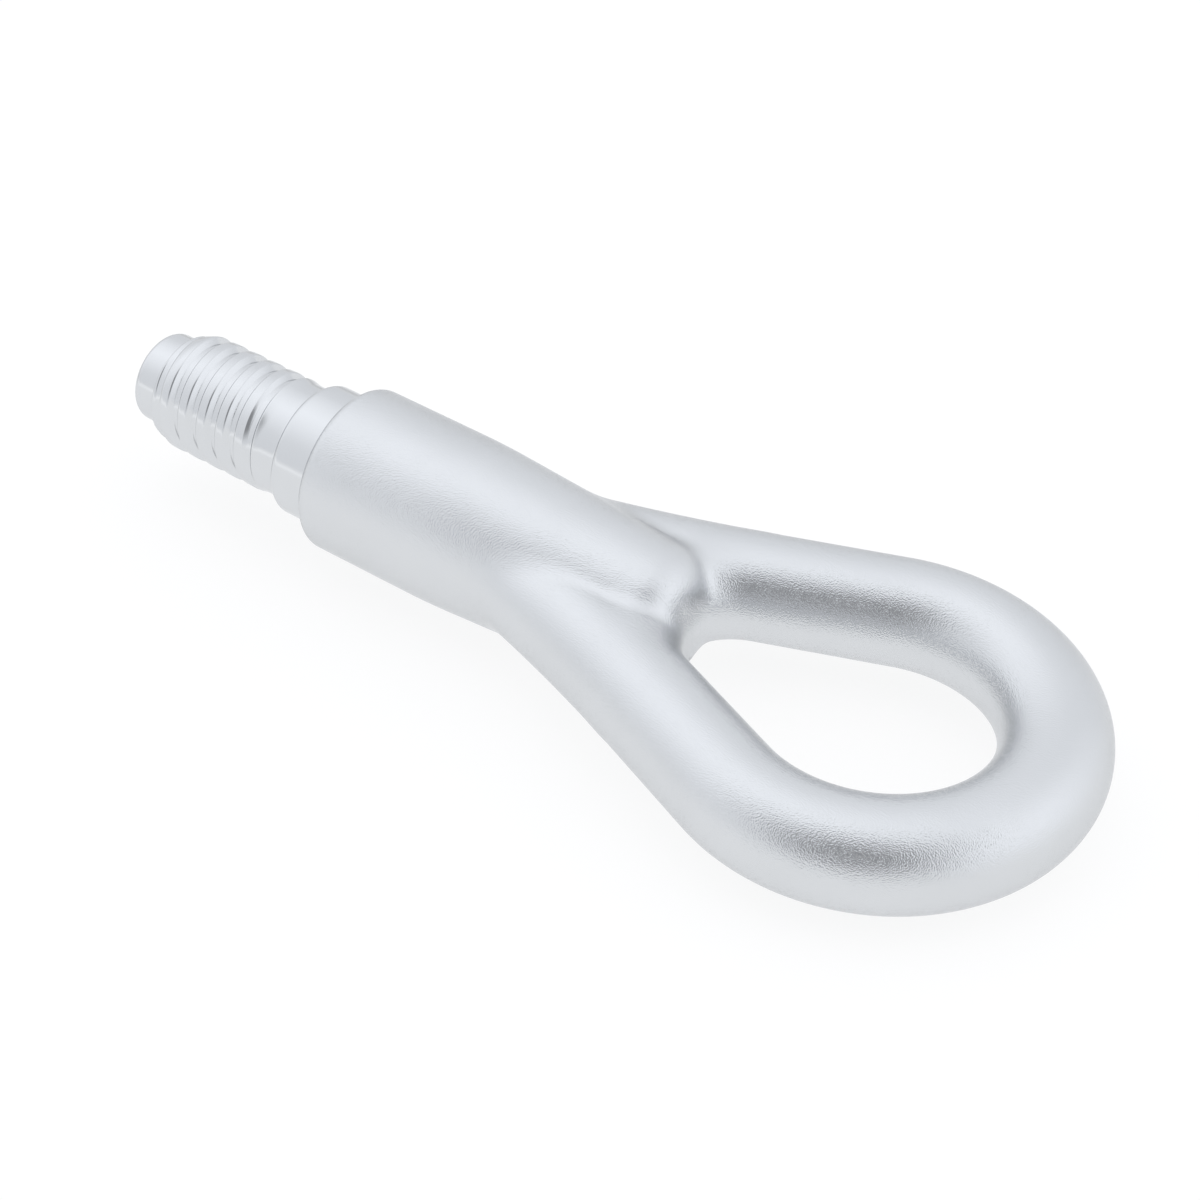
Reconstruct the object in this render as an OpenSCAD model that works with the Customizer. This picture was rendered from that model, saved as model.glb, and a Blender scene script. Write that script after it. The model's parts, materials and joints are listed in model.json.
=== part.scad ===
// Forged tow eye with a threaded stud.
// X runs along the stud towards the eye, the eye lies flat in the XY plane, and +Z is up.
// The origin is the centre of the shoulder that seats against the car.

/* [Stud] */
// Diameter of the plain pilot at the free end
pilot_d = 15.4; // [14:0.1:15.6]
// Length of the plain pilot
pilot_len = 5.4; // [3:0.2:8]
// Rounding of the pilot's free edge
pilot_edge = 1.4; // [0.4:0.1:2.5]
// Diameter of the smooth neck behind the thread
neck_d = 19.3; // [18:0.1:19.8]
// Length of the smooth neck
neck_len = 4.5; // [2:0.1:8]
// Diameter of the smooth collar that centres the eye in its socket
collar_d = 22.5; // [21:0.1:24]
// Length of the collar
collar_len = 7.6; // [4:0.1:12]
// Rounding of the collar's front edge
collar_edge = 0.9; // [0.3:0.1:1.2]
// Fillet between neck and collar
collar_fillet = 0.6; // [0.2:0.1:0.8]

/* [Thread] */
// Outer diameter of the right-hand thread
thread_d = 20; // [19.9:0.1:20.8]
// Length of the threaded stretch, with its lead-in cone
thread_len = 22.6; // [16:0.2:32]
// Pitch of the thread
thread_pitch = 4; // [3.5:0.25:5]
// Depth of the thread
thread_depth = 1; // [0.8:0.1:2.2]
// Width of the groove at its root
groove_root = 1.2; // [0.8:0.1:1.6]
// Slope of each flank away from square, in degrees
flank_slope = 15; // [10:1:20]
// Softening of the crest's edges
crest_edge = 0.55; // [0.1:0.05:0.6]
// Length of the lead-in cone between pilot and full thread
lead_len = 2.9; // [1.5:0.1:4]
// Angle round the stud at which the groove starts, in degrees
thread_start = 40; // [0:5:355]
// Turns over which the groove fades out into the neck
fade_turns = 0.8; // [0.3:0.1:1.2]

/* [Shank] */
// Diameter of the round shank
shank_d = 27.8; // [25:0.1:30]
// Rounding of the shank's front edge
shank_edge = 2; // [1:0.1:2.4]
// Length of the shank before it starts to taper
shank_len = 20; // [12:0.5:26]
// Diameter that the shank's ridge has tapered to at the eye
ridge_d = 22.4; // [20:0.2:24]
// Rounding of the ridge's end over the eye
ridge_edge = 6.5; // [4:0.25:8]
// How far the ridge stops short of the eye's opening
ridge_setback = 1; // [0.5:0.1:4]

/* [Eye] */
// Distance from the shoulder to the far end of the eye
eye_reach = 133.9; // [125:0.1:150]
// Thickness of the eye's round rod
rod_d = 17; // [15:0.1:18]
// Width of the opening at its wide end
wide_bore = 35.6; // [32:0.2:42]
// Width of the opening's round narrow end
narrow_bore = 17.6; // [14:0.2:22]
// Angle between each straight arm and the stud's axis, in degrees
arm_angle = 22.5; // [18:0.5:26]
// How far the arms bow outwards where they run into the shank
arm_bow = 1.6; // [0:0.1:3]
// Softness of the blend between ridge and arms
ridge_blend = 1.4; // [0.5:0.1:4]
// Softness of the blend where the arms meet across the eye's narrow end
arm_blend = 1; // [0.5:0.1:4]

/* [Hidden] */

// Places along the stud, counted from the shoulder
collar_x = -collar_len;
neck_x = collar_x - neck_len;
lead_x = neck_x - thread_len;
tip_x = lead_x - pilot_len;

// The groove of the thread, measured at the crest
thread_r = thread_d / 2;
groove_half = groove_root / 2 + thread_depth * tan(flank_slope);
groove_out = groove_half + crest_edge;
thread_steps = 36;

// The eye's centreline: a wide arc, two straight arms and a narrow arc that closes it
rod_r = rod_d / 2;
wide_r = (wide_bore + rod_d) / 2;
narrow_r = (narrow_bore + rod_d) / 2;
wide_x = eye_reach - rod_r - wide_r;
narrow_x = wide_x - (wide_r - narrow_r) / sin(arm_angle);
arm_len = (wide_x - narrow_x) * cos(arm_angle);
arm_start = [narrow_x - narrow_r * sin(arm_angle), narrow_r * cos(arm_angle)];
arm_root_x = shank_len + 10;
bow_span = 30;

// The ridge that carries the shank on between the arms
shank_r = shank_d / 2;
ridge_end = narrow_x - narrow_bore / 2 - ridge_setback;
taper_soft = 4;
taper_x = shank_len + taper_soft;
taper = (shank_r - ridge_d / 2) / (ridge_end - taper_x);

// The blended fork is a loft of sections that starts inside the shank and ends inside the arms
seat = 1;
inset = 0.03;
rays = 36;
turn_x = shank_len + 10;

// Turns a shape that stands along Z so that it lies along X
module along_x() {
    rotate([0, 90, 0]) children();
}

// Half outline of a round piece from x = a to x = b, with its edge at a rounded
module rounded_step(a, b, r, edge) {
    translate([0, a + edge]) square([r, b - a - edge]);
    translate([0, a]) square([r - edge, b - a]);
    translate([r - edge, a + edge]) circle(edge, $fn = 48);
}

// Half outline of everything that was turned: pilot, thread blank, neck, collar and shank
module turned_outline() {
    step = thread_r - neck_d / 2;
    intersection() {
        translate([0, tip_x]) square([shank_d, shank_len - tip_x]);
        union() {
            rounded_step(tip_x, lead_x + lead_len, pilot_d / 2, pilot_edge);
            polygon([
                [0, lead_x], [thread_r - thread_depth + 0.2, lead_x], [thread_r, lead_x + lead_len],
                [thread_r, neck_x - step], [neck_d / 2, neck_x], [0, neck_x]
            ]);
            translate([0, neck_x]) square([neck_d / 2, neck_len]);
            neck_fillet();
            rounded_step(collar_x, 0, collar_d / 2, collar_edge);
            rounded_step(0, shank_len, shank_r, shank_edge);
        }
    }
}

// Fillet in the corner between neck and collar
module neck_fillet() {
    difference() {
        translate([neck_d / 2 - 0.1, collar_x - collar_fillet]) square([collar_fillet + 0.1, collar_fillet + 0.1]);
        translate([neck_d / 2 + collar_fillet, collar_x - collar_fillet]) circle(collar_fillet, $fn = 48);
    }
}

// Groove of the thread: one section carried round the stud, lifted out of the metal at its far end
function groove_x(a) = lead_x + thread_pitch * (a - thread_start) / 360;
function groove_angle(x) = thread_start + 360 * (x - lead_x) / thread_pitch;
function groove_section(lift) = let(
    r = thread_r + lift,
    edge = crest_edge,
    side = [
        [groove_root / 2, r - thread_depth],
        [groove_half - edge * tan(flank_slope), r - edge],
        [groove_half + 0.3 * edge, r - 0.3 * edge],
        [groove_out, r + 0.1 * edge],
        [groove_out, thread_r + thread_depth + 1]
    ]
) concat(side, [for (i = [len(side) - 1:-1:0]) [-side[i][0], side[i][1]]]);

module thread_groove() {
    first = groove_angle(lead_x - groove_out - 0.2);
    last = groove_angle(neck_x + 0.2);
    fade = fade_turns * 360;
    count = ceil((last - first) / 360 * thread_steps);
    stations = [for (i = [0:count])
        let(
            a = first + (last - first) * i / count,
            t = max(0, (a - last + fade) / fade),
            lift = (thread_depth + 0.4) * t * t * (1.5 - 0.5 * t)
        )
        [for (p = groove_section(lift)) [groove_x(a) + p[0], p[1] * cos(a), p[1] * sin(a)]]
    ];
    n = len(stations[0]);
    polyhedron(
        points = [for (s = stations) for (p = s) p],
        faces = concat(
            [[for (j = [0:n - 1]) j]],
            [for (i = [0:count - 1]) for (j = [0:n - 1])
                let(k = (j + 1) % n)
                each [[i * n + j, (i + 1) * n + j, i * n + k], [i * n + k, (i + 1) * n + j, (i + 1) * n + k]]
            ],
            [[for (j = [n - 1:-1:0]) count * n + j]]
        )
    );
}

// Stud and shank, turned from the forging and threaded
module stud() {
    difference() {
        along_x() rotate_extrude($fn = 144) turned_outline();
        thread_groove();
    }
}

// Distances to the pieces that the fork blends, negative inside the metal
function soft_min(a, b, k) = min(a, b) - pow(max(k - abs(a - b), 0), 2) / (4 * k);
function taper_run(t) = t < -taper_soft ? 0 : t > taper_soft ? t : pow(t + taper_soft, 2) / (4 * taper_soft);
function ridge_r(x) = shank_r - taper * taper_run(x - taper_x);
function ridge_dist(p) = let(
    a = norm([p[1], p[2]]) - ridge_r(p[0]) + ridge_edge,
    b = p[0] - ridge_end + ridge_edge
) norm([max(a, 0), max(b, 0)]) + min(max(a, b), 0) - ridge_edge;

// Place beside the arm's line: first value along it from the narrow arc, second square to it
function by_arm(x, y) = let(dx = x - narrow_x)
    [dx * cos(arm_angle) + y * sin(arm_angle), y * cos(arm_angle) - dx * sin(arm_angle)];
function bow(x) = arm_bow * pow(max(arm_start[0] - x, 0) / bow_span, 2);
function arm_dist(p) = let(
    q = by_arm(p[0], abs(p[1]) - bow(p[0])),
    back = min(q[0] - (arm_root_x - narrow_x) * cos(arm_angle), 0)
) norm([back, q[1] - narrow_r, p[2]]) - rod_r;
function narrow_dist(p) = let(
    q = by_arm(p[0], abs(p[1])),
    flat = q[0] < 0 ? norm([p[0] - narrow_x, p[1]]) - narrow_r : norm([q[0], q[1] - narrow_r])
) norm([flat, p[2]]) - rod_r;
function fork_dist(p) = let(
    soft = arm_blend * min(max((arm_start[0] - p[0]) / 12, 0), 1) + 0.001
) soft_min(ridge_dist(p), soft_min(arm_dist(p), narrow_dist(p), soft), ridge_blend);

// How far the metal reaches from a point along a direction, by halving the gap
function reach(p, d, near, far, n = 22) = n == 0 ? (near + far) / 2
    : let(mid = (near + far) / 2)
        fork_dist(p + d * mid) < 0 ? reach(p, d, mid, far, n - 1) : reach(p, d, near, mid, n - 1);

// Sections of the fork's +Y half, each in a plane that turns from square to the stud to square to the arm
hole_x = reach([ridge_end - 10, 0, 0], [1, 0, 0], 0, 20) + ridge_end - 10;
loft_end = narrow_x + 2 * seat / cos(arm_angle);
hole_run = narrow_x - hole_x;
close_gaps = [8, 6, 4.4, 3, 1.9, 1, 0.4, 0.1, 0];
open_gaps = [0.01, 0.05, 0.12, 0.24, 0.4, 0.6, 0.8, 1];
plain_steps = 16;
plain_end = hole_x - close_gaps[0];
section_x = concat(
    [shank_len - seat],
    [for (i = [0:plain_steps - 1]) shank_len + seat + (plain_end - shank_len - seat) * i / plain_steps],
    [for (g = close_gaps) hole_x - g],
    [for (g = open_gaps) hole_x + hole_run * g],
    [loft_end]
);
closed_from = 1 + plain_steps + len(close_gaps) - 1;
last_section = len(section_x) - 1;

function ease(t) = let(s = min(max(t, 0), 1)) s * s * (3 - 2 * s);
function plane_angle(x) = arm_angle * ease((x - turn_x) / (narrow_x - turn_x));
function centre_y(x) = let(
    line = (arm_start[1] + (x - arm_start[0]) * tan(arm_angle))
        / (1 + tan(plane_angle(x)) * tan(arm_angle))
) -soft_min(-line, -rod_r * 0.65, 4);
function section(i) = let(
    x0 = section_x[i],
    turn = plane_angle(x0),
    cy = centre_y(x0),
    centre = [x0 - cy * tan(turn), cy, 0],
    out = [-sin(turn), cos(turn), 0],
    cut = cy / cos(turn),
    top = reach([x0, 0, 0], [0, 0, 1], 0, shank_d),
    half = i < closed_from ? 180 - atan2(top, cut) : 180,
    less = i == 0 || i == last_section ? inset : 0
) [for (j = [0:rays])
    let(
        a = half * (2 * j / rays - 1),
        d = out * cos(a) + [0, 0, sin(a)],
        far = cos(a) < 0 ? min(cut / -cos(a), shank_d) : shank_d
    )
    i < closed_from && (j == 0 || j == rays) ? [x0, 0, (top - less) * sign(a)]
        : i == closed_from && (j == 0 || j == rays) ? [x0, 0, 0]
        : centre + d * (reach(centre, d, 0, far) - less)
];

// Both halves of the fork as one closed surface that shares its points on the plane y = 0
module fork() {
    halves = [for (i = [0:last_section]) section(i)];
    n = rays + 1;
    all = n * (last_section + 1);
    rim = function(i, j) i >= closed_from && j == rays ? 0 : j;
    plus = function(i, j) i * n + rim(i, j);
    minus = function(i, j) (i < closed_from && (j == 0 || j == rays)) || (i == closed_from && rim(i, j) == 0)
        ? plus(i, j) : all + plus(i, j);
    polyhedron(
        points = concat(
            [for (s = halves) for (p = s) p],
            [for (s = halves) for (p = s) [p[0], -p[1], p[2]]]
        ),
        faces = concat(
            [concat([for (j = [0:rays]) plus(0, j)], [for (j = [rays - 1:-1:1]) minus(0, j)])],
            [[for (j = [rays - 1:-1:0]) plus(last_section, j)]],
            [[for (j = [0:rays - 1]) minus(last_section, j)]],
            [for (i = [0:last_section - 1]) for (j = [0:rays - 1])
                each [
                    [plus(i, j), plus(i + 1, j), plus(i, j + 1)],
                    [plus(i, j + 1), plus(i + 1, j), plus(i + 1, j + 1)],
                    [minus(i, j), minus(i, j + 1), minus(i + 1, j)],
                    [minus(i, j + 1), minus(i + 1, j + 1), minus(i + 1, j)]
                ]
            ]
        )
    );
}

// Straight arm on the +Y side, from the fork to the wide arc
module arm() {
    translate([wide_x, 0, 0]) rotate([0, 0, 90 + arm_angle]) translate([wide_r, 0, 0])
        rotate([-90, 0, 0]) cylinder(h = arm_len - seat, r = rod_r, $fn = 72);
}

// Wide arc of the eye
module wide_arc() {
    translate([wide_x, 0, 0]) rotate([0, 0, -90 - arm_angle])
        rotate_extrude(angle = 180 + 2 * arm_angle, $fn = 144) translate([wide_r, 0]) circle(rod_r, $fn = 72);
}

module tow_eye() {
    color("silver") union() {
        stud();
        fork();
        arm();
        mirror([0, 1, 0]) arm();
        wide_arc();
    }
}

tow_eye();
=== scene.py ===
# %% [markdown]
# # A forged tow eye in satin silver
# A tow eye screws into the bumper of a car, and a rope is hooked into its loop. This one is a single
# steel forging: a red-hot bar is pressed between two dies, the stud is turned and gets its thread,
# and the whole piece gets a thin silver zinc coat.
# The solid model is given and stays as it is. Here it gets its looks: one fine mesh that follows the
# same forms, one metal with two surface states, and the light of a white photo tent.

# %% The fixed frame
import json
import math
import bpy
import bmesh
import numpy as np
from mathutils import Matrix, Vector


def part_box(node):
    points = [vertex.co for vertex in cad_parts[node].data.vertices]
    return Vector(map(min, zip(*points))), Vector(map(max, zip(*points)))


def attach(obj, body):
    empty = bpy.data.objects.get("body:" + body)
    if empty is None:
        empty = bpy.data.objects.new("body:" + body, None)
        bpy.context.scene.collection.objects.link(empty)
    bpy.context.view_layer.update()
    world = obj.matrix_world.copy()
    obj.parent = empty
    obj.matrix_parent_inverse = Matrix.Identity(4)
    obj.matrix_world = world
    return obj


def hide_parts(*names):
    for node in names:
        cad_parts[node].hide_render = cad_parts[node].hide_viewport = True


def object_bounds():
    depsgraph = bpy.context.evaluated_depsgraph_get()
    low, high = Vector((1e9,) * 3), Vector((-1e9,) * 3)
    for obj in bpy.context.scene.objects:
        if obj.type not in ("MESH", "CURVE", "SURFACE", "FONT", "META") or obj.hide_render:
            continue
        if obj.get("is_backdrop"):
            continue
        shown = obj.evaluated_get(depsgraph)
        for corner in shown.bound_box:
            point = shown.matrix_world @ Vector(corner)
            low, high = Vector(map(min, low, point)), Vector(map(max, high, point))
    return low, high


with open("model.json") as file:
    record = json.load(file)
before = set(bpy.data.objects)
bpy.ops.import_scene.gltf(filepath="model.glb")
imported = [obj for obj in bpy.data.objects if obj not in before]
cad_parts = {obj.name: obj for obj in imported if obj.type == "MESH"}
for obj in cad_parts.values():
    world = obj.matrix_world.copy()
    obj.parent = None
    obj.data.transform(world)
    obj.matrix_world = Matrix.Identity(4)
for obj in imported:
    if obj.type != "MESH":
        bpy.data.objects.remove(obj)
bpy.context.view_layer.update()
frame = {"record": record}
MM = 0.001

# %% [markdown]
# ## The camera
# The view is settled first, because every later choice is judged through it. A photo's viewpoint is
# a direction, a distance and a lens. The direction is written as a compass angle round the part and a
# height above the horizon, and the camera's turn about its own axis is the roll.
# The small shift moves the picture in its frame without turning the camera.

# %% Camera
camera_azimuth = -56.26
camera_elevation = 40.13
camera_roll = 2.97
camera_place = Vector((0.22796, -0.27112, 0.27480))
focal_length = 83.0
frame_shift = (0.0125, -0.0146)


def direction(azimuth, elevation):
    """Unit vector that points that many degrees round from +X and up from the horizon."""
    a, e = math.radians(azimuth), math.radians(elevation)
    return Vector((math.cos(e) * math.cos(a), math.cos(e) * math.sin(a), math.sin(e)))


backward = direction(camera_azimuth, camera_elevation)
level_right = Vector((0, 0, 1)).cross(backward).normalized()
level_up = backward.cross(level_right)
looking = Matrix((level_right, level_up, backward)).transposed()
camera = bpy.data.objects.new("camera", bpy.data.cameras.new("camera"))
bpy.context.scene.collection.objects.link(camera)
rolled = looking @ Matrix.Rotation(math.radians(camera_roll), 3, "Z")
camera.matrix_world = Matrix.Translation(camera_place) @ rolled.to_4x4()
camera.data.lens = focal_length
camera.data.sensor_width = 36
camera.data.shift_x, camera.data.shift_y = frame_shift
camera.data.clip_start = 0.01
bpy.context.scene.camera = camera
print("camera at", [round(v, 3) for v in camera_place], "with a lens of", focal_length, "mm")

# %% [markdown]
# ## Sizes
# All lengths are millimetres along and around the stud's axis, X, counted from the shoulder that
# seats against the car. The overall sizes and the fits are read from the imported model, so the mesh
# can't drift away from it. The rest are the dimensions that the solid was built from, with two
# exceptions. The collar's edge is 1.3 mm here and 0.9 in the solid. The groove has flanks of 35
# degrees and a floor of 1.0 mm here, and 15 degrees and 1.2 mm in the solid: of the grooves that
# were rendered, this one came closest to the photo's bands of light.

# %% Sizes
mount = {m["name"]: m["dims"] for m in frame["record"]["mounts"]}
low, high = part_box("tow_eye")
tip_x, eye_reach = low.x / MM, high.x / MM
shank_r = high.z / MM
rod_r = mount["eye"]["length_mm"] / 2
wide_r = high.y / MM - rod_r
thread_r = mount["thread"]["r_mm"]
collar_r = mount["collar"]["r_mm"]
pilot_r = mount["pilot"]["r_mm"]

pilot_len, pilot_edge = 5.4, 1.4
neck_r, neck_len = 9.65, 4.5
collar_len, collar_edge, collar_fillet = 7.6, 1.3, 0.6
shank_edge, shank_len = 2.0, 20.0
thread_pitch, thread_depth = 4.0, 1.0
groove_root, flank_slope = 1.0, 35.0
lead_len, thread_start, fade_turns = 2.9, 40.0, 0.8

collar_x = -collar_len
neck_x = collar_x - neck_len
lead_x = tip_x + pilot_len
print(f"stud from {tip_x:.1f}, thread from {lead_x:.1f} to {neck_x:.1f}, eye to {eye_reach:.1f}")

# %% [markdown]
# ## Turned outline
# Everything on a lathe is a profile spun round an axis. The profile is a list of points, each a
# place along X and a radius. Straight runs need only their ends, and every edge is a short arc,
# because a coat of zinc leaves no edge sharp.

# %% Outline of the turned parts
def arc(x, r, radius, first, last, steps):
    """Points on a circle about (x, r), between two angles in degrees: 0 is along X, 90 off the axis."""
    angles = np.radians(np.linspace(first, last, steps + 1))
    return [(x + radius * math.cos(t), r + radius * math.sin(t)) for t in angles]


def corner(x, r, before, after, radius, steps):
    """The arc that rounds the corner at (x, r), where the outline turns from before to after degrees."""
    side = math.copysign(90, after - before)
    back, out = math.radians(before), math.radians(before + side)
    run = radius * math.tan(math.radians(abs(after - before) / 2))
    middle_x = x - run * math.cos(back) + radius * math.cos(out)
    middle_r = r - run * math.sin(back) + radius * math.sin(out)
    return arc(middle_x, middle_r, radius, before - side, after - side, steps)


soft_foot, step_edge = 0.25, 0.35
neck_run = 1.1
front_x, back_x = lead_x + step_edge, neck_x + neck_run

tip_outline = (
    [(tip_x, 0.0), (tip_x, 0.55 * pilot_r)]
    + corner(tip_x, pilot_r, 90, 0, pilot_edge, 8)
    + [(lead_x - 2 * soft_foot, pilot_r)]
    + corner(lead_x, pilot_r, 0, 90, soft_foot, 3)
)
shoulder_outline = (
    [(back_x, neck_r), (collar_x - collar_fillet - 0.3, neck_r)]
    + corner(collar_x, neck_r, 0, 90, collar_fillet, 5)
    + corner(collar_x, collar_r, 90, 0, collar_edge, 8)
    + [(collar_x + 1.2 * collar_edge, collar_r), (-1.5 * soft_foot, collar_r)]
    + corner(0, collar_r, 0, 90, soft_foot, 3)
    + corner(0, shank_r, 90, 0, shank_edge, 10)
)
print("tip outline has", len(tip_outline), "points and the shoulder", len(shoulder_outline))

# %% [markdown]
# ## Thread
# The thread is right-hand, 20 mm across, with a pitch of 4 mm and a shallow, flat groove whose
# crests have well rounded edges. A thread could be cut with a boolean, which leaves long thin faces,
# or drawn as a bump, which has no edge against the light. Here the mesh itself runs with the thread.
# Its rows climb round the stud at the thread's own pitch, one row for each point of the groove's
# profile, so every edge stays crisp. The radius depends only on the place and the angle. So rows
# that would climb past the ends are held at the end rings, where they merge.

# %% Profile of the groove
flank_foot = groove_root / 2
flank_head = flank_foot + thread_depth * math.tan(math.radians(flank_slope))
crest_edge, root_fillet = 0.55, 0.06
groove = (
    [(0.0, -thread_depth), (0.5 * flank_foot, -thread_depth)]
    + corner(flank_foot, -thread_depth, 0, 90 - flank_slope, root_fillet, 2)
    + corner(flank_head, 0.0, 90 - flank_slope, 0, crest_edge, 6)
)
groove += [(groove[-1][0] + 0.1, 0.0), (thread_pitch / 2, 0.0)]
groove_places, groove_heights = zip(*groove)
row_offsets = [-v for v in reversed(groove_places[1:-1])] + list(groove_places)
columns = 256
print(len(row_offsets), "rows in each turn of the thread,", columns, "columns round the stud")


# %% Surface of the thread
lead_r = thread_r - thread_depth - 0.05
crest_soft, groove_soft = 0.15, 0.1
step_len, step_ahead = 2.6, 1.6
fade_past, fade_lift = 0.2, 0.4
# Just under a half, so that the two ends of a row round to the same turn where they meet.
almost_half = 0.499


def soft_min(a, b, soft):
    """The smaller of two values, rounded over where they are closer than soft."""
    return np.minimum(a, b) - np.maximum(soft - np.abs(a - b), 0) ** 2 / (4 * soft)


def blank_radius(x):
    """Radius of the turned blank before the groove is cut: lead-in cone, crest and neck."""
    cone = lead_r + (x - lead_x) * (thread_r - lead_r) / lead_len
    step = np.clip((x - neck_x + step_ahead) / step_len, 0, 1)
    return soft_min(cone, thread_r, crest_soft) - (thread_r - neck_r) * step * step * (3 - 2 * step)


def stud_radius(x, angle):
    """Radius of the threaded stud at a place along it and an angle round it."""
    climb = (np.degrees(angle) - thread_start) / 360
    turn = np.floor((x - lead_x) / thread_pitch - climb + almost_half) + climb
    last_turn = (neck_x + fade_past - lead_x) / thread_pitch
    fade = np.clip((turn - last_turn + fade_turns) / fade_turns, 0, 1)
    lift = (thread_depth + fade_lift) * fade * fade * (1.5 - 0.5 * fade)
    height = np.interp(np.abs(x - lead_x - thread_pitch * turn), groove_places, groove_heights)
    return soft_min(blank_radius(x), thread_r + height + lift, groove_soft)


def band_point(x, r, angle):
    """Points at places along the stud, radii and angles."""
    return np.stack([x, r * np.cos(angle), r * np.sin(angle)], axis=-1)


round_angle = np.linspace(0, 2 * math.pi, columns + 1)
climbing = thread_pitch * (np.degrees(round_angle) - thread_start) / 360
turns = range(-2, math.ceil((back_x - lead_x) / thread_pitch) + 1)
places = [
    np.clip(lead_x + thread_pitch * n + climbing + offset, front_x, back_x)
    for n in turns
    for offset in row_offsets
]
band = np.array([band_point(x, stud_radius(x, round_angle), round_angle) for x in places])
front_r = stud_radius(np.full_like(round_angle, front_x), round_angle)
front_edge = []
for t in np.linspace(math.pi / 2, 0, 5):
    edge_x = np.full_like(round_angle, lead_x + step_edge * (1 - math.sin(t)))
    edge_r = front_r - step_edge * (1 - math.cos(t))
    front_edge.append(band_point(edge_x, edge_r, round_angle))
print("thread band of", band.shape[0], "rows")

# %% [markdown]
# ## Fork and eye
# Behind the shank the bar splits into two arms that close to an egg-shaped loop. On the real forging
# nothing is cut here: the dies squeeze one form out of a tapering ridge, two bowed arms and a narrow
# arc, with soft creases between them. Such blends are hard to draw with surfaces.
# So the form is written as distances. Each of the three has a formula for how far a point is from
# it, and a soft minimum melts them together. The same formulas shape the solid. A few of their
# values were set anew against the photo: here the arms bow by 1.8 mm and blend over 1.3, against
# 1.6 and 1.4, and the ridge's end is 0.2 mm thicker in radius and 0.4 mm nearer to the opening.

# %% Distances to the forms of the fork
arm_angle = math.radians(22.5)
narrow_r = 17.3
ridge_end_r, ridge_edge, ridge_setback = 11.4, 6.5, 0.6
arm_bow, bow_span = 1.8, 30.0
ridge_blend, arm_blend, arm_blend_run = 1.3, 1.0, 12.0
taper_soft = 4.0

wide_x = eye_reach - rod_r - wide_r
narrow_x = wide_x - (wide_r - narrow_r) / math.sin(arm_angle)
arm_len = (wide_x - narrow_x) * math.cos(arm_angle)
arm_start = (narrow_x - narrow_r * math.sin(arm_angle), narrow_r * math.cos(arm_angle))
arm_root_x = shank_len + 10
ridge_end = narrow_x - (narrow_r - rod_r) - ridge_setback
taper_x = shank_len + taper_soft
taper = (shank_r - ridge_end_r) / (ridge_end - taper_x)


def ridge_distance(x, y, z):
    """Distance from the shank and its tapering ridge, which ends rounded."""
    run = x - taper_x
    bend = (run + taper_soft) ** 2 / (4 * taper_soft)
    eased = np.where(run < -taper_soft, 0, np.where(run > taper_soft, run, bend))
    a = np.hypot(y, z) - (shank_r - taper * eased) + ridge_edge
    b = x - ridge_end + ridge_edge
    return np.hypot(np.maximum(a, 0), np.maximum(b, 0)) + np.minimum(np.maximum(a, b), 0) - ridge_edge


def beside_arm(x, y):
    """Place along the arm's line, from the narrow arc on, and square to it."""
    run = x - narrow_x
    along = run * math.cos(arm_angle) + y * math.sin(arm_angle)
    across = y * math.cos(arm_angle) - run * math.sin(arm_angle)
    return along, across


def arm_distance(x, y, z):
    """Distance from the straight arm, which bows outwards as it runs back into the shank."""
    bow = arm_bow * (np.maximum(arm_start[0] - x, 0) / bow_span) ** 2
    along, across = beside_arm(x, np.abs(y) - bow)
    past = np.minimum(along - (arm_root_x - narrow_x) * math.cos(arm_angle), 0)
    return np.sqrt(past**2 + (across - narrow_r) ** 2 + z**2) - rod_r


def narrow_distance(x, y, z):
    """Distance from the narrow arc that closes the eye under the ridge."""
    along, across = beside_arm(x, np.abs(y))
    flat = np.where(along < 0, np.hypot(x - narrow_x, y) - narrow_r, np.hypot(along, across - narrow_r))
    return np.hypot(flat, z) - rod_r


def fork_distance(x, y, z):
    """Distance from the blended fork, negative inside the metal."""
    soft = arm_blend * np.clip((arm_start[0] - x) / arm_blend_run, 0, 1) + 0.001
    arms = soft_min(arm_distance(x, y, z), narrow_distance(x, y, z), soft)
    return soft_min(ridge_distance(x, y, z), arms, ridge_blend)


print(f"eye: wide arc about x = {wide_x:.1f}, narrow arc about x = {narrow_x:.1f}, arms {arm_len:.1f} mm long")


# %% [markdown]
# ## Sections
# The mesh of the fork is a loft. Each section lies in an upright plane, and rays from a centre inside
# the metal find the surface by halving the gap. The planes stand square to the stud at first and
# turn until they are square to the arm. One half of the fork is lofted, and the other is its mirror.
# Before the opening begins, a half section runs from the top of the ridge round the arm to its
# underside. From there on it is a closed loop round the arm.

# %% Sections of the fork
rays = columns // 2
upward = np.array([0.0, 0.0, 1.0])
turn_x = shank_len + 10
spread_len = 14
centre_floor, centre_soft = 0.65 * rod_r, 4.0


def reach(start, way, far, test=fork_distance):
    """How far the metal goes from each start point along its way, found by halving the gap."""
    near = np.zeros_like(far)
    for _ in range(30):
        middle = (near + far) / 2
        p = start + way * middle[..., None]
        inside = test(p[..., 0], p[..., 1], p[..., 2]) < 0
        near, far = np.where(inside, middle, near), np.where(inside, far, middle)
    return (near + far) / 2


def ease(t):
    """Smooth step from 0 to 1."""
    t = np.clip(t, 0, 1)
    return t * t * (3 - 2 * t)


hole_start = np.array([[ridge_end - 10, 0.0, 0.0]])
hole_x = hole_start[0, 0] + reach(hole_start, np.array([[1.0, 0, 0]]), np.array([20.0]))[0]


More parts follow.
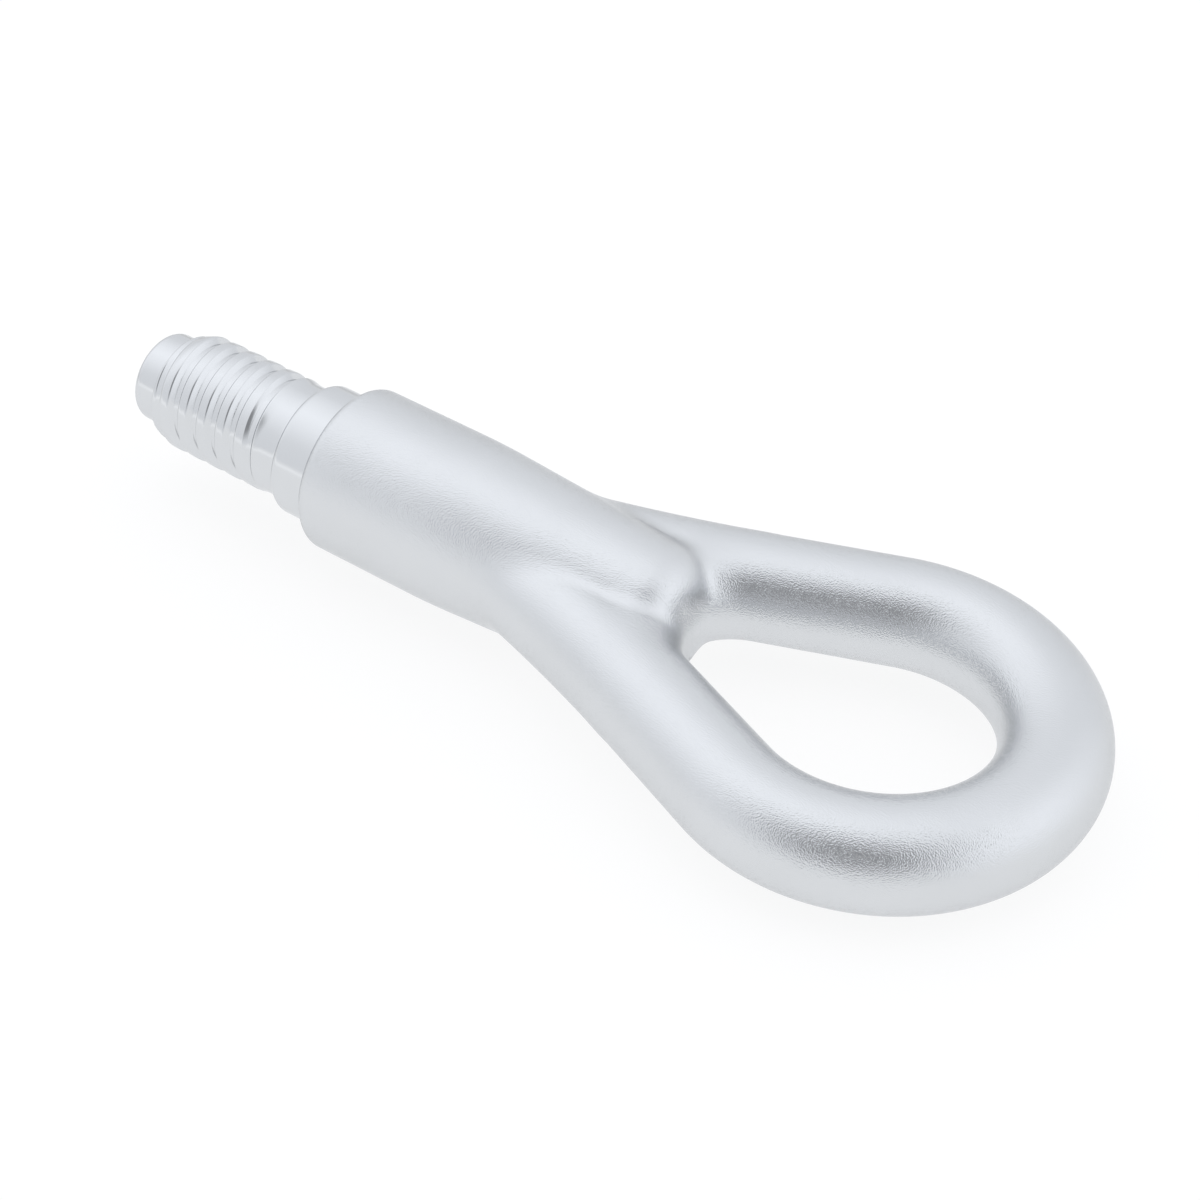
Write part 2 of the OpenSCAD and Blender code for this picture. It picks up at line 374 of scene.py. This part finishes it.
def fork_section(x, closed):
    """One half section of the fork, through (x, 0), as rays + 1 points from its underside to its top."""
    turn = arm_angle * ease((x - turn_x) / (narrow_x - turn_x))
    slope = math.tan(arm_angle)
    line = (arm_start[1] + (x - arm_start[0]) * slope) / (1 + math.tan(turn) * slope)
    y = -soft_min(-line, -centre_floor, centre_soft) * ease((x - shank_len) / spread_len)
    centre = np.array([x - y * math.tan(turn), y, 0.0])
    out = np.array([-math.sin(turn), math.cos(turn), 0.0])
    to_middle = y / math.cos(turn)
    top = reach(np.array([[x, 0.0, 0.0]]), upward, np.array([2 * shank_r]))[0]
    half = math.pi if closed else math.pi - math.atan2(top, to_middle)
    a = half * np.linspace(-1, 1, rays + 1)
    way = out * np.cos(a)[:, None] + upward * np.sin(a)[:, None]
    inward = np.cos(a) < -1e-9
    far = np.where(inward, np.minimum(to_middle / np.where(inward, -np.cos(a), 1), 2 * shank_r), 2 * shank_r)
    points = centre + way * reach(np.broadcast_to(centre, way.shape), way, far)[:, None]
    if not closed:
        points[0], points[-1] = (x, 0, -top), (x, 0, top)
    elif abs(x - hole_x) < 1e-9:
        points[0] = points[-1] = (x, 0, 0)
    return points


print(f"the opening starts at x = {hole_x:.2f}")

# %% [markdown]
# Past the narrow arc the rod is plain: a straight arm, then the wide arc. Its sections are circles
# square to the rod's centreline, with as many points as the fork's.

# %% Sections of the arm and the wide arc
def rod_section(centre, out):
    """A circle of the rod about a centre, with its first point on the side of the opening."""
    a = math.pi * np.linspace(-1, 1, rays + 1)[:, None]
    return centre + rod_r * (out * np.cos(a) + upward * np.sin(a))


shank_steps, fork_steps, gap_steps, open_steps, arm_steps, arc_steps = 4, 58, 14, 16, 10, 52
close_gap = 8.0


def half_sections():
    """All sections of the +Y half, from the shank's front edge to the far end of the eye."""
    shank_stations = np.linspace(shank_edge, shank_len, shank_steps + 1)[:-1]
    fork_stations = np.linspace(shank_len, hole_x - close_gap, fork_steps + 1)[:-1]
    gap_stations = hole_x - close_gap * (1 - np.arange(gap_steps) / gap_steps) ** 2
    sections = [fork_section(x, False) for x in (*shank_stations, *fork_stations, *gap_stations)]
    open_run = (narrow_x - hole_x) * (np.arange(open_steps + 1) / open_steps) ** 2
    sections += [fork_section(hole_x + run, True) for run in open_run]
    arm_out = np.array([-math.sin(arm_angle), math.cos(arm_angle), 0.0])
    arm_way = np.array([math.cos(arm_angle), math.sin(arm_angle), 0.0])
    start = np.array([arm_start[0], arm_start[1], 0.0])
    arm_parts = np.arange(1, arm_steps) / arm_steps
    sections += [rod_section(start + arm_way * arm_len * t, arm_out) for t in arm_parts]
    for t in np.linspace(math.pi / 2 + arm_angle, 0, arc_steps + 1):
        out = np.array([math.cos(t), math.sin(t), 0.0])
        sections.append(rod_section(np.array([wide_x, 0.0, 0.0]) + wide_r * out, out))
    return np.array(sections)


half = half_sections()
print("half of the eye has", half.shape[0], "sections of", half.shape[1], "points")

# %% [markdown]
# ## One closed mesh
# The parts share their rings point for point: the tip's last ring meets the thread's first, and
# the shank's edge has as many points as a section and its mirror. So the whole eye is one closed
# mesh, as it is one piece of steel. Points that coincide are merged.

# %% Mesh of the whole eye
def add_grid(mesh, rows, flip=False):
    """Adds a grid of points and the faces between them. Grids that share points are merged later."""
    points = [[mesh.verts.new(p * MM) for p in row] for row in rows]
    for row, following in zip(points, points[1:]):
        for i in range(len(row) - 1):
            corners = (row[i], row[i + 1], following[i + 1], following[i])
            mesh.faces.new(reversed(corners) if flip else corners)


def spun(outline):
    """Rings of a turned outline, with the same columns as the thread and the fork."""
    return [band_point(np.full_like(round_angle, x), r, round_angle) for x, r in outline]


merge_within = 0.002
eye_mesh = bmesh.new()
add_grid(eye_mesh, [*spun(tip_outline), *front_edge, *band, *spun(shoulder_outline)])
add_grid(eye_mesh, half, flip=True)
add_grid(eye_mesh, half * (1, -1, 1))
bmesh.ops.remove_doubles(eye_mesh, verts=eye_mesh.verts, dist=merge_within * MM)
bmesh.ops.recalc_face_normals(eye_mesh, faces=eye_mesh.faces)
loose = [e for e in eye_mesh.edges if not e.is_manifold]
volume = eye_mesh.calc_volume() / MM**3
print(len(eye_mesh.faces), "faces,", len(loose), "open edges, volume", round(volume), "mm3")

tow_eye = bpy.data.objects.new("forged_tow_eye", bpy.data.meshes.new("forged_tow_eye"))
bpy.context.scene.collection.objects.link(tow_eye)
eye_mesh.to_mesh(tow_eye.data)
eye_mesh.free()
tow_eye.data.shade_smooth()
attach(tow_eye, "root")
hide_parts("tow_eye")
print("triangles:", sum(len(p.vertices) - 2 for p in tow_eye.data.polygons))

# %% [markdown]
# ## A short way to write shaders
# A shader is a formula, so it is written as one. A Wire stands for the output of a node, and adding
# or multiplying wires adds the Math nodes. Any other node comes from the one method below, which
# takes its type, its settings and what goes into its sockets.

# %% Wires
class Wire:
    """The output of a shader node, or with no socket the tree that nodes are added to."""

    def __init__(self, tree, socket=None):
        self.tree, self.socket = tree, socket

    def node(self, kind, settings=None, inputs=None, output=0):
        """Adds a node, gives it its settings first and then its sockets, and returns one output."""
        made = self.tree.nodes.new(kind)
        for name, value in (settings or {}).items():
            setattr(made, name, value)
        for name, value in (inputs or {}).items():
            if isinstance(value, Wire):
                self.tree.links.new(value.socket, made.inputs[name])
            else:
                made.inputs[name].default_value = value
        return Wire(self.tree, made.outputs[output] if len(made.outputs) else None)

    def math(self, operation, *values):
        return self.node("ShaderNodeMath", {"operation": operation}, dict(enumerate(values)))

    def __add__(self, other):
        return self.math("ADD", self, other)

    def __sub__(self, other):
        return self.math("SUBTRACT", self, other)

    def __rsub__(self, other):
        return self.math("SUBTRACT", other, self)

    def __mul__(self, other):
        return self.math("MULTIPLY", self, other)

    def __truediv__(self, other):
        return self.math("DIVIDE", self, other)

    __radd__, __rmul__ = __add__, __mul__

    def ramp(self, start, end, low=0.0, high=1.0):
        """Eases from low to high while this value goes from start to end."""
        settings = {"interpolation_type": "SMOOTHSTEP"}
        return self.node("ShaderNodeMapRange", settings, {0: self, 1: start, 2: end, 3: low, 4: high})

    def mix(self, factor, a, b):
        """A colour between a and b."""
        return self.node("ShaderNodeMix", {"data_type": "RGBA"}, {0: factor, 6: a, 7: b}, output=2)

    def dot(self, vector):
        """How far this vector goes along another one."""
        settings = {"operation": "DOT_PRODUCT"}
        return self.node("ShaderNodeVectorMath", settings, {0: self, 1: tuple(vector)}, output="Value")


def new_tree(owner):
    """An empty node tree on a material, world or lamp, as a Wire."""
    owner.use_nodes = True
    owner.node_tree.nodes.clear()
    return Wire(owner.node_tree)


print("operators on wires:", "+ - * /, reflected as well")

# %% [markdown]
# ## Silver coat
# The coat is zinc flake in a thin binder: a metal that scatters its reflection a little, and whose
# rim gains less shine than bare metal's, so the specular tint holds it back. The body was blasted
# before it was coated, which leaves a grain of a few tenths of a millimetre. It shows as sparkle
# wherever a dark reflection meets a bright one. The stud was turned, so under the same coat it is
# smoother, and its reflections are sharper.
# One material holds both states, and the place along the stud tells them apart.

# %% Material of the coat
coat = bpy.data.materials.new("silver_zinc_coat")
tree = new_tree(coat)
place = tree.node("ShaderNodeTexCoord", output="Object")
along = tree.node("ShaderNodeSeparateXYZ", {}, {0: place}, output="X") / MM
blasted = along.ramp(-0.2, 0.6)

grain_size, grain_depth = 0.2, 0.065
turned_rough, blasted_rough = 0.11, 0.24
silver_low, silver_high = (0.67, 0.682, 0.694, 1), (0.686, 0.698, 0.71, 1)

fine = {"Vector": place, "Scale": 1 / (grain_size * MM), "Detail": 0.0}
broad = {"Vector": place, "Scale": 60.0, "Detail": 3.0}
grain = tree.node("ShaderNodeTexNoise", {}, fine, output="Fac")
cloud = tree.node("ShaderNodeTexNoise", {}, broad, output="Fac")

grain_height = grain * blasted.ramp(0, 1, 0.05, 1.0)
grain_bump = {"Strength": 1.0, "Distance": grain_depth * MM, "Height": grain_height}
bumped = tree.node("ShaderNodeBump", {}, grain_bump)
tint = tree.mix(cloud.ramp(0.3, 0.7), silver_low, silver_high)
roughness = blasted.ramp(0, 1, turned_rough, blasted_rough) + cloud * 0.03
finish = tree.node(
    "ShaderNodeBsdfPrincipled",
    {},
    {
        "Base Color": tint,
        "Metallic": 0.94,
        "Roughness": roughness,
        "Specular Tint": (0.86, 0.86, 0.86, 1),
        "Normal": bumped,
    },
)
tree.node("ShaderNodeOutputMaterial", {}, {"Surface": finish})
tow_eye.data.materials.clear()
tow_eye.data.materials.append(coat)
print("coat:", len(coat.node_tree.nodes), "nodes")

# %% [markdown]
# ## Light tent
# Satin metal shows its surroundings, so the surroundings are the light. This part looks as if it
# stood in a tent of white cloth on a white table. The cloth and the table are about as bright as
# the plain white that the camera sees, so the coat renders at about its written colour.
# The tent is the world, and panels change it: rectangles seen in some direction, with soft edges.
# Two soft lights shine through the cloth, a seam at the back of the table is darker, a thin strip
# low in front is brighter, and the opening where the camera looks in is dark. Their places follow
# from the bands of light on the metal, since each band shows what lies in its mirror direction.
# The cloth is a little bluer than the table.

# %% Panels of the tent
world = bpy.data.worlds.new("light_tent")
bpy.context.scene.world = world
tent = new_tree(world)
way = tent.node("ShaderNodeTexCoord", output="Generated")
height = way.dot((0, 0, 1))


def panel(azimuth, elevation, width, tall, soft):
    """1 inside a rectangle seen in that direction and 0 outside, all in degrees, with an edge that soft."""
    middle = direction(azimuth, elevation)
    side = Vector((-math.sin(math.radians(azimuth)), math.cos(math.radians(azimuth)), 0))
    facing = way.dot(middle)
    inside = facing.ramp(0.0, 0.1)
    for axis, size in ((side, width), (middle.cross(side), tall)):
        across = way.dot(axis) / facing.math("MAXIMUM", facing, 0.01)
        across = across.math("ABSOLUTE", across)
        near, far = (math.tan(math.radians(size / 2 + s)) for s in (-soft / 2, soft / 2))
        inside = inside * across.ramp(near, far, 1.0, 0.0)
    return inside


low_cloth, high_cloth, table_level = 0.92, 1.0, 1.03
light_gain, strip_gain, seam_loss, opening_loss = 0.31, 0.16, 0.375, 0.68

cloth = height.ramp(0.0, 1.0, low_cloth, high_cloth)
cloth = cloth + light_gain * panel(18, 26, 58, 48, 55)
cloth = cloth + light_gain * panel(178, 53, 36, 73, 60)
above = height.ramp(-0.04, 0.04)
level = cloth * above + table_level * (1 - above)
level = level - seam_loss * panel(150, -11, 110, 8, 22)
level = level + strip_gain * panel(-122, -5, 70, 4, 3)
level = level * (1 - opening_loss * panel(-64, 38.4, 57, 46.5, 27))
seen = tent.node("ShaderNodeLightPath", output="Is Camera Ray")
strength = level * (1 - seen) + seen
cool = tent.mix(above, (0.985, 0.996, 1.015, 1), (0.972, 0.992, 1.032, 1))
shown = tent.mix(seen, cool, (1, 1, 1, 1))
glow = tent.node("ShaderNodeBackground", {}, {"Color": shown, "Strength": strength})
tent.node("ShaderNodeOutputWorld", {}, {"Surface": glow})
print("tent:", len(world.node_tree.nodes), "nodes")

# %% [markdown]
# ## Table
# The part lies on a plain pale table. It rests on its shank and on the far end of the eye, which is
# thinner, so the table's plane tilts against the stud's axis. The sheet glows a little less than
# white and its own colour adds the rest, so only a faint soft shadow is left where the part keeps
# the light off it. The metal mirrors the tent's table instead, which has the seam and the strip.

# %% Table
rest_x = shank_len + 2
rest_tilt = math.atan2(shank_r - rod_r, wide_x + wide_r - rest_x)
table_size, table_gap = 3.0, 0.0001
paper_colour, paper_glow = 0.19, 0.83
bpy.ops.mesh.primitive_plane_add(size=table_size)
floor = bpy.context.object
floor.name = "table"
under_shank = Matrix.Translation((rest_x * MM, 0, -shank_r * MM - table_gap))
floor.matrix_world = under_shank @ Matrix.Rotation(-rest_tilt, 4, "Y")
floor.visible_glossy = False
paper = bpy.data.materials.new("white_paper")
sheet = new_tree(paper)
diffuse = sheet.node("ShaderNodeBsdfDiffuse", {}, {"Color": (paper_colour, paper_colour, paper_colour, 1)})
shine = sheet.node("ShaderNodeEmission", {}, {"Color": (1, 1, 1, 1), "Strength": paper_glow})
both = sheet.node("ShaderNodeAddShader", {}, {0: diffuse, 1: shine})
sheet.node("ShaderNodeOutputMaterial", {}, {"Surface": both})
floor.data.materials.append(paper)
floor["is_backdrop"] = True
print(f"table tilts by {math.degrees(rest_tilt):.1f} degrees")

# %% Colour handling and sizes
bpy.context.scene.view_settings.view_transform = "Standard"
visual_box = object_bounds()
lowest, highest = ([round(v / MM, 2) for v in corner_place] for corner_place in visual_box)
print("visual model from", lowest, "to", highest)
